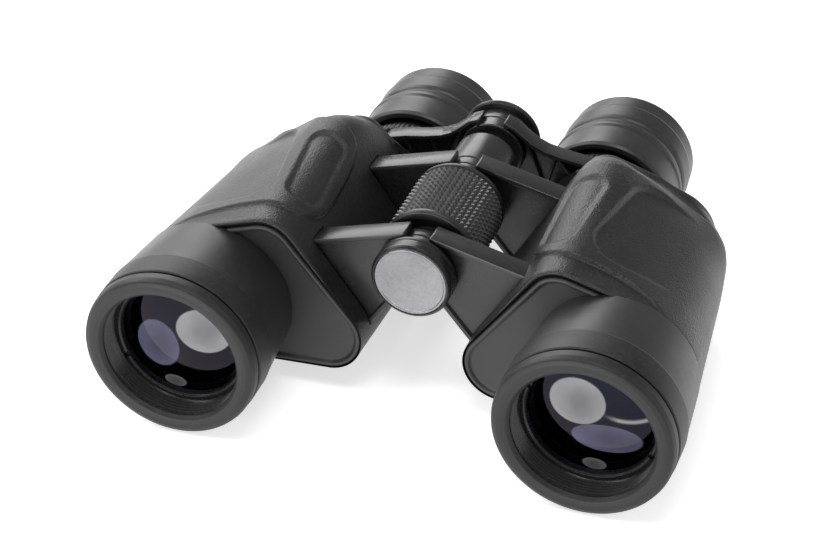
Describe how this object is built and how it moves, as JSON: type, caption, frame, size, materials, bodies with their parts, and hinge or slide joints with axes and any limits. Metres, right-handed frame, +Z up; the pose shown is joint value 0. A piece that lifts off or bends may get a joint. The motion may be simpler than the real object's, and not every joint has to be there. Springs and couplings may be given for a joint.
{
  "type": "binoculars",
  "caption": "Porro-prism binoculars with a folding hinge, centre focus wheel, dioptre ring, rubber armour and eyecups, with the prisms and lenses inside.",
  "frame": {"origin": "on the surface that the pair lies on, under the middle of its bounding box", "axes": "+X across the pair towards the user's left, +Y from the objectives to the eyepieces, +Z up"},
  "size_m": [0.1776, 0.1574, 0.0598],
  "materials": {
    "armour_rubber": "grained black rubber armour",
    "cover_paint": "smooth matt black paint on cast aluminium",
    "arm_paint": "satin black paint on cast aluminium",
    "barrel_paint": "satin black paint on cast aluminium",
    "rim_rubber": "smooth dark grey rubber",
    "black_anodised": "matt black anodised",
    "coated_glass": "coated optical glass",
    "prism_glass": "clear optical glass",
    "shelf_metal": "dark cast aluminium",
    "spring_steel": "spring steel",
    "tube_metal": "black anodised, turned",
    "collar_plastic": "fine ribbed matt black plastic",
    "ocular_plastic": "matt black plastic",
    "eyecup_rubber": "soft smooth black rubber",
    "pin_steel": "turned steel",
    "cap_metal": "fine brushed dark silver",
    "washer_plastic": "black nylon",
    "wheel_plastic": "satin black plastic",
    "grip_rubber": "knurled black rubber",
    "dark_screw": "blackened steel"
  },
  "bodies": {
    "left_half": {"left_prism_housing": "arm_paint", "left_rubber_armour": "armour_rubber", "left_front_cover": "cover_paint", "left_rear_cover": "cover_paint", "left_rear_cover_screws": "dark_screw", "left_strap_lug": "arm_paint", "left_objective_barrel": "barrel_paint", "left_objective_rim": "rim_rubber", "left_retaining_ring": "black_anodised", "left_crown_lens": "coated_glass", "left_flint_lens": "coated_glass", "left_front_prism": "prism_glass", "left_rear_prism": "prism_glass", "left_prism_shelf": "shelf_metal", "left_prism_clips": "spring_steel", "front_hinge_pin": "pin_steel", "hinge_tube": "arm_paint", "front_thrust_washer": "washer_plastic", "rear_thrust_washer": "washer_plastic"},
    "right_half": {"right_prism_housing": "arm_paint", "right_rubber_armour": "armour_rubber", "right_front_cover": "cover_paint", "right_rear_cover": "cover_paint", "right_rear_cover_screws": "dark_screw", "right_strap_lug": "arm_paint", "right_objective_barrel": "barrel_paint", "right_objective_rim": "rim_rubber", "right_retaining_ring": "black_anodised", "right_crown_lens": "coated_glass", "right_flint_lens": "coated_glass", "right_front_prism": "prism_glass", "right_rear_prism": "prism_glass", "right_prism_shelf": "shelf_metal", "right_prism_clips": "spring_steel"},
    "focus_wheel": {"focus_wheel_core": "wheel_plastic", "focus_wheel_grip": "grip_rubber"},
    "focus_carriage": {"focus_spindle": "pin_steel", "bridge_cap": "arm_paint", "bridge_cap_screw": "dark_screw", "left_bridge_arm": "arm_paint", "left_eyepiece_tube": "tube_metal", "left_eyepiece_collar": "collar_plastic", "left_ocular_barrel": "ocular_plastic", "left_field_lens": "coated_glass", "left_eye_lens": "coated_glass", "left_eye_lens_ring": "black_anodised", "left_eyecup": "eyecup_rubber"},
    "right_carriage": {"right_bridge_arm": "arm_paint", "right_eyepiece_tube": "tube_metal"},
    "dioptre_ring": {"right_dioptre_ring": "collar_plastic"},
    "right_ocular": {"right_ocular_barrel": "ocular_plastic", "right_field_lens": "coated_glass", "right_eye_lens": "coated_glass", "right_eye_lens_ring": "black_anodised", "right_eyecup": "eyecup_rubber"},
    "cap_washer": {"hinge_cap_washer": "washer_plastic"},
    "cap": {"hinge_cap": "cap_metal"}
  },
  "joints": [
    {"name": "interpupillary_hinge", "type": "hinge", "parent": "left_half", "child": "right_half", "pos_m": [0, 0, 0.0429], "axis": [0, 1, 0], "range_deg": [-19, 26]},
    {"name": "focus_wheel_turn", "type": "hinge", "parent": "left_half", "child": "focus_wheel", "pos_m": [0, 0, 0.0429], "axis": [0, 1, 0], "range_deg": [-115, 180]},
    {"name": "focus_carriage_slide", "type": "slide", "parent": "left_half", "child": "focus_carriage", "axis": [0, 1, 0], "range_m": [-0.003, 0.0047]},
    {"name": "right_carriage_slide", "type": "slide", "parent": "right_half", "child": "right_carriage", "axis": [0, 1, 0], "range_m": [-0.003, 0.0047]},
    {"name": "dioptre_turn", "type": "hinge", "parent": "right_carriage", "child": "dioptre_ring", "pos_m": [-0.032, 0, 0.0216], "axis": [0, 1, 0], "range_deg": [-60, 60]},
    {"name": "right_ocular_slide", "type": "slide", "parent": "right_carriage", "child": "right_ocular", "axis": [0, 1, 0], "range_m": [-0.00198, 0.00198]},
    {"name": "cap_washer_slide", "type": "slide", "parent": "left_half", "child": "cap_washer", "axis": [0, -1, 0], "range_m": [0, 0.00634]},
    {"name": "hinge_cap_turn", "type": "hinge", "parent": "cap_washer", "child": "cap", "pos_m": [0, 0, 0.0429], "axis": [0, -1, 0], "range_deg": [0, 1800]}
  ],
  "couplings": [
    {"joint": "focus_wheel_turn", "follows": "focus_carriage_slide", "rad_per_m": 666.67},
    {"joint": "right_carriage_slide", "follows": "focus_carriage_slide", "ratio": 1},
    {"joint": "dioptre_turn", "follows": "right_ocular_slide", "rad_per_m": 526.32},
    {"joint": "hinge_cap_turn", "follows": "cap_washer_slide", "rad_per_m": 4947.4}
  ]
}
